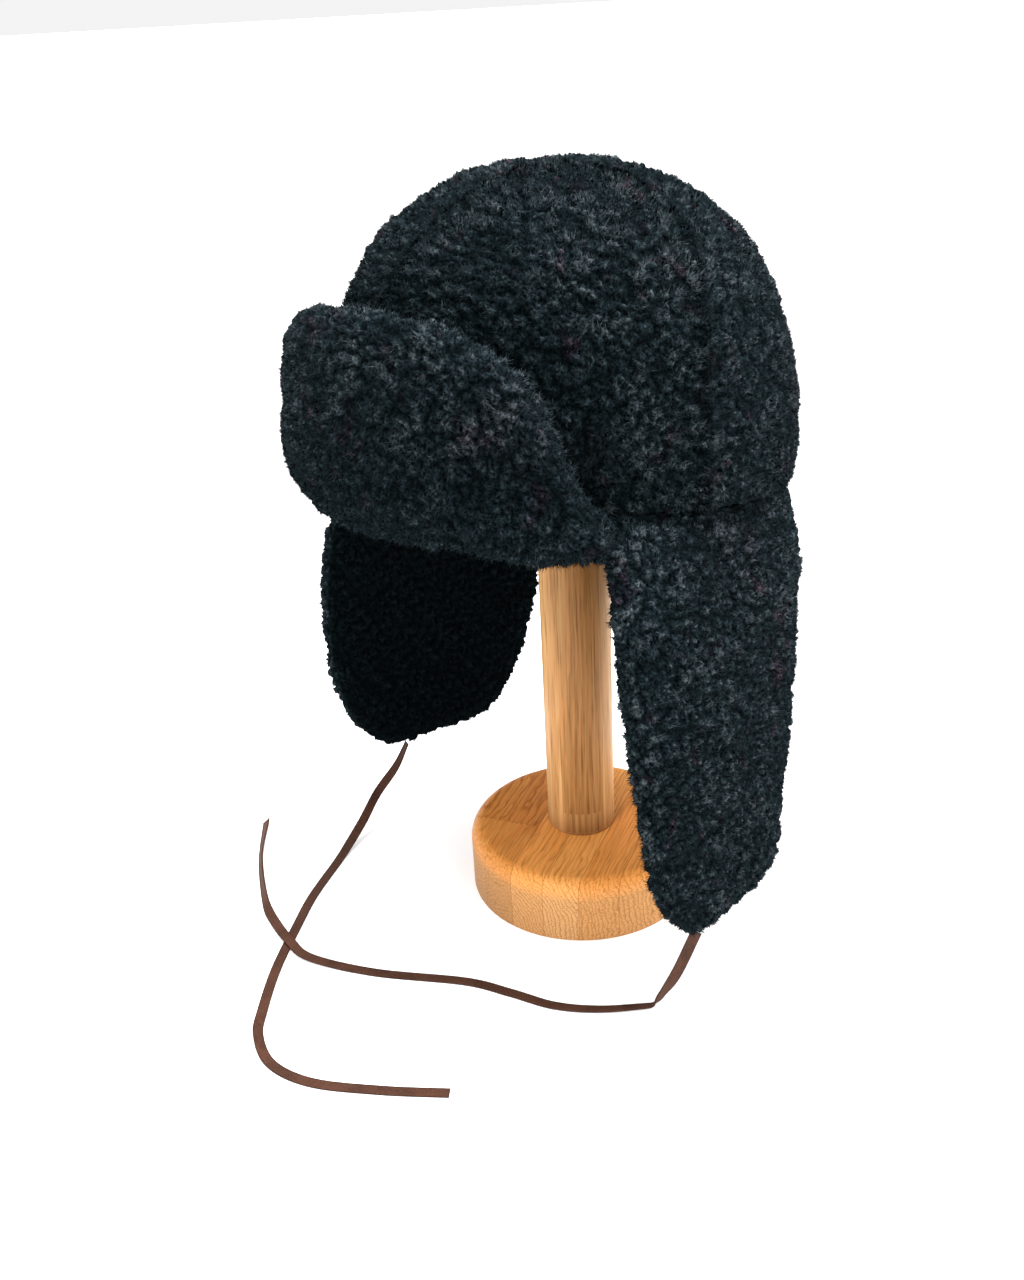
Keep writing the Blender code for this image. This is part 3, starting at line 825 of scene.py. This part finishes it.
def add_fibres(node, count, pad, quads, normals, likelihood, lump, room, shade, material, rng):
    """Single triangles that stand on the pad's quads, narrow at the tip and lit as one soft surface."""
    points = np.empty(len(pad.data.vertices) * 3)
    pad.data.vertices.foreach_get("co", points)
    points = points.reshape(-1, 3)
    lump_normals = np.empty(len(points) * 3)
    pad.data.vertex_normals.foreach_get("vector", lump_normals)
    lump_normals = lump_normals.reshape(-1, 3)

    # Roots, spread evenly over the faces
    corners = points[quads]
    area = np.linalg.norm(np.cross(corners[:, 2] - corners[:, 0], corners[:, 3] - corners[:, 1]), axis=1)
    weight = area * likelihood[quads[:, 0]]
    quad = quads[rng.choice(len(quads), size=count, p=weight / weight.sum())]
    s = rng.uniform(size=(count, 1))
    t = rng.uniform(size=(count, 1))

    def blend(values):
        a, b, c, d = (values[quad[:, k]] for k in range(4))
        return (a * (1 - s) + b * s) * (1 - t) + (d * (1 - s) + c * s) * t

    root = blend(points)
    normal = unit(blend(normals))
    soft = unit(blend(lump_normals))
    clear = room[quad[:, 0]]
    hill = lump[quad[:, 0]]
    dim = shade[quad[:, 0]]

    # Fibres of one lock lean the same way
    heading = waves(root, rng, LOCK_LENGTH) * LOCK_LEAN + rng.normal(size=(count, 3)) * FIBRE_SPREAD
    heading = unit(heading - normal * dot(heading, normal)[:, None])
    stray = 1.0 + STRAY_GROWTH * (rng.uniform(size=(count, 1)) < STRAY_SHARE)
    fullness = from_low(SEAM_LENGTH_SHARE, clear) * (CREVICE_LENGTH_SHARE + CURL_LENGTH_SHARE * hill)
    length = stray * FIBRE_LENGTH * fullness[:, None] * rng.uniform(0.45, 1.15, (count, 1))
    start = root - normal * FIBRE_ROOT_DEPTH
    tip = root + soft * length * FIBRE_RISE + heading * length * FIBRE_TURN
    side = unit(np.cross(tip - start, rng.normal(size=(count, 3)) + normal * 1.2))
    facing = dot(np.cross(side, tip - start), normal)
    side *= np.where(facing < 0.0, -1.0, 1.0)[:, None]
    half = side * FIBRE_WIDTH * rng.uniform(0.6, 1.3, (count, 1)) / 2
    fibre_points = np.stack([start - half, start + half, tip], axis=1).reshape(-1, 3)
    fibre_faces = np.arange(3 * count).reshape(-1, 3)

    # Painted shade: roots darker than tips, and darker in crevices, at seams and in the broad painted
    # shade
    root_painted_shade = ROOT_SHADE * hill ** CREVICE_POWER * clear * dim
    tip_painted_shade = from_low(TIP_CREVICE_SHADE, hill ** TIP_POWER) * from_low(TIP_SEAM_SHADE, clear)
    tip_painted_shade = tip_painted_shade * rng.uniform(0.7, 1.0, count) * dim
    painted_shade = np.clip(np.stack([root_painted_shade, root_painted_shade, tip_painted_shade], axis=1).ravel(), 0.0, 1.0)
    pile = add_mesh("pile_" + node, fibre_points, [fibre_faces], painted_shade, material)
    lean = unit(np.repeat(soft + LIGHT_SPREAD * rng.normal(size=(count, 3)), 3, axis=0))
    pile.data.normals_split_custom_set_from_vertices(lean.tolist())
    return pile


def add_pile(node, fibres, inside_share, material, seed):
    """The pad and the fibres that stand for one solid."""
    rng = np.random.default_rng(seed)
    points, quads, normals = even_shell(node)
    inside = faces_inside(node, points, normals)
    triangles = np.empty((0, 3), int)
    if node.startswith("crown"):
        points, quads, triangles, normals, inside = thinned(points, quads, normals, inside)
    lump = lumps_at(points, rng)
    room = room_beside(points, surfaces_of(across_the_seam(node)), SEAM_CLEARANCE)
    open_share = room_beside(points, surfaces_of(sewn_beside(node)), VALLEY_REACH)
    shade = broad_shade(node, points, inside)
    pad_points = points + normals * pad_rise(node, points, lump, room, open_share)[:, None]
    if node.startswith("crown"):
        draw_to_apex(pad_points)
    # Painted shade of the pad: darker in the crevices, at the seams and in the valleys between pieces
    painted_shade = PAD_SHADE * lump ** CREVICE_POWER * from_low(SEAM_SHADE, room ** CREVICE_POWER)
    painted_shade = painted_shade * from_low(VALLEY_SHADE, open_share) * shade
    pad = add_mesh("pad_" + node, pad_points, [quads, triangles], np.clip(painted_shade, 0.0, 1.0), material)
    likelihood = np.where(inside, inside_share, 1.0) * (CREVICE_FIBRES + lump ** CREVICE_POWER)
    likelihood = likelihood * from_low(VALLEY_FIBRES, open_share) * from_low(SEAM_FIBRES, room)
    pile = add_fibres(node, fibres, pad, quads, normals, likelihood, lump, room, shade, material, rng)
    for piece in (pad, pile):
        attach(piece, "root")
        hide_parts(node)


# Ties

def smooth_route(route, steps):
    """Points of a smooth curve through the route's rows; every column is carried along."""
    rows = [np.array(row) for row in route]
    ends = [rows[0] * 2 - rows[1]] + rows + [rows[-1] * 2 - rows[-2]]
    curve = []
    for i in range(1, len(ends) - 2):
        before, start, stop, after = ends[i - 1:i + 3]
        for step in range(steps):
            t = step / steps
            curve.append(0.5 * (
                2 * start + (stop - before) * t
                + (2 * before - 5 * start + 4 * stop - after) * t ** 2
                + (3 * start - before - 3 * stop + after) * t ** 3
            ))
    curve.append(rows[-1])
    return np.array(curve)


def add_tie(name, node, route, material):
    rows = smooth_route(route, TIE_STEPS)
    middle = rows[:, :3].copy()
    roll = np.radians(rows[:, 3])
    along = np.gradient(middle, axis=0)
    along /= np.linalg.norm(along, axis=1, keepdims=True)
    across = np.cross(along, (0.0, 0.0, 1.0))
    across /= np.linalg.norm(across, axis=1, keepdims=True)
    up = np.cross(across, along)
    wide = across * np.cos(roll)[:, None] + up * np.sin(roll)[:, None]
    thick = np.cross(wide, along)
    half_width = TIE_WIDTH / 2
    half_thickness = TIE_THICKNESS / 2
    low = np.abs(wide[:, 2]) * half_width + np.abs(thick[:, 2]) * half_thickness + TIE_LIFT
    middle[:, 2] = np.maximum(middle[:, 2], low)
    edge = TIE_THICKNESS * TIE_EDGE_SHARE
    outline = []
    for u, v in ((-1, -1), (1, -1), (1, 1), (-1, 1)):
        cut_first = edge * (u * v > 0)
        cut_last = edge * (u * v < 0)
        outline.append((u * (half_width - cut_first), v * (half_thickness - cut_last)))
        outline.append((u * (half_width - cut_last), v * (half_thickness - cut_first)))
    count = len(outline)
    points = np.concatenate([
        [m + w * a + t * b for a, b in outline] for m, w, t in zip(middle, wide, thick)
    ])
    mesh = bpy.data.meshes.new(name)
    faces = []
    for i in range(len(middle) - 1):
        for j in range(count):
            k = (j + 1) % count
            faces.append((i * count + j, (i + 1) * count + j, (i + 1) * count + k, i * count + k))
    faces.append(tuple(range(count)))
    last = (len(middle) - 1) * count
    faces.append(tuple(range(last + count - 1, last - 1, -1)))
    mesh.from_pydata(points.tolist(), [], faces)
    shape = bmesh.new()
    shape.from_mesh(mesh)
    bmesh.ops.recalc_face_normals(shape, faces=shape.faces[:])
    shape.to_mesh(mesh)
    shape.free()
    mesh.materials.append(material)
    tie = link(bpy.data.objects.new(name, mesh))
    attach(tie, "root")
    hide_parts(node)


# Stand

def turned(name, profile, facets, material):
    """Turn a profile of (radius, z) pairs round the post's axis."""
    mesh = bpy.data.meshes.new(name)
    turns = [2 * pi * i / facets for i in range(facets)]
    points = []
    for r, z in profile:
        points += [(r * cos(turn), r * sin(turn), z) for turn in turns]
    faces = []
    for row in range(len(profile) - 1):
        low = row * facets
        high = low + facets
        for i in range(facets):
            k = (i + 1) % facets
            faces.append((low + i, low + k, high + k, high + i))
    last = (len(profile) - 1) * facets
    faces.append(tuple(range(facets)))
    faces.append(tuple(range(last + facets - 1, last - 1, -1)))
    mesh.from_pydata(points, [], faces)
    shape = bmesh.new()
    shape.from_mesh(mesh)
    bmesh.ops.recalc_face_normals(shape, faces=shape.faces[:])
    shape.to_mesh(mesh)
    shape.free()
    mesh.shade_smooth()
    mesh.materials.append(material)
    obj = link(bpy.data.objects.new(name, mesh))
    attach(obj, "root")
    return obj


def arc(radius, z, rounding, start, stop, steps):
    """Points of an arc in a profile, round the middle (radius, z)."""
    turn = (stop - start) / steps
    return [
        (radius + rounding * cos(radians(start + turn * i)), z + rounding * sin(radians(start + turn * i)))
        for i in range(steps + 1)
    ]


def add_stand(base_wood, post_wood):
    foot = BASE_FOOT_ROUNDING
    shoulder = BASE_TOP_ROUNDING
    profile = arc(BASE_RADIUS - foot, foot, foot, -90, 0, 4)
    profile += arc(BASE_RADIUS - shoulder, BASE_HEIGHT - shoulder, shoulder, 0, 90, 10)
    base = turned("wooden_base", profile, 160, base_wood)
    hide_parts("stand_base")
    bottom = BASE_HEIGHT + GAP
    top = HEAD_UNDERSIDE_Z - GAP
    bevel = POST_FOOT_BEVEL
    profile = [(POST_RADIUS - bevel, bottom), (POST_RADIUS, bottom + bevel), (POST_RADIUS, top)]
    post = turned("wooden_post", profile, 96, post_wood)
    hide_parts("stand_post")
    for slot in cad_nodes["stand_head"].material_slots:
        slot.material = post_wood


add_camera()
leather = leather_material()
add_tie("leather_tie_left", "tie_left", TIE_LEFT_ROUTE, leather)
add_tie("leather_tie_right", "tie_right", TIE_RIGHT_ROUTE, leather)
add_floor()
add_light()
add_stand(base_wood_material(), post_wood_material())
pile = pile_material()
for number, (node, fibres, inside_share) in enumerate(PILE_PIECES):
    add_pile(node, fibres, inside_share, pile, FIRST_SEED + number)
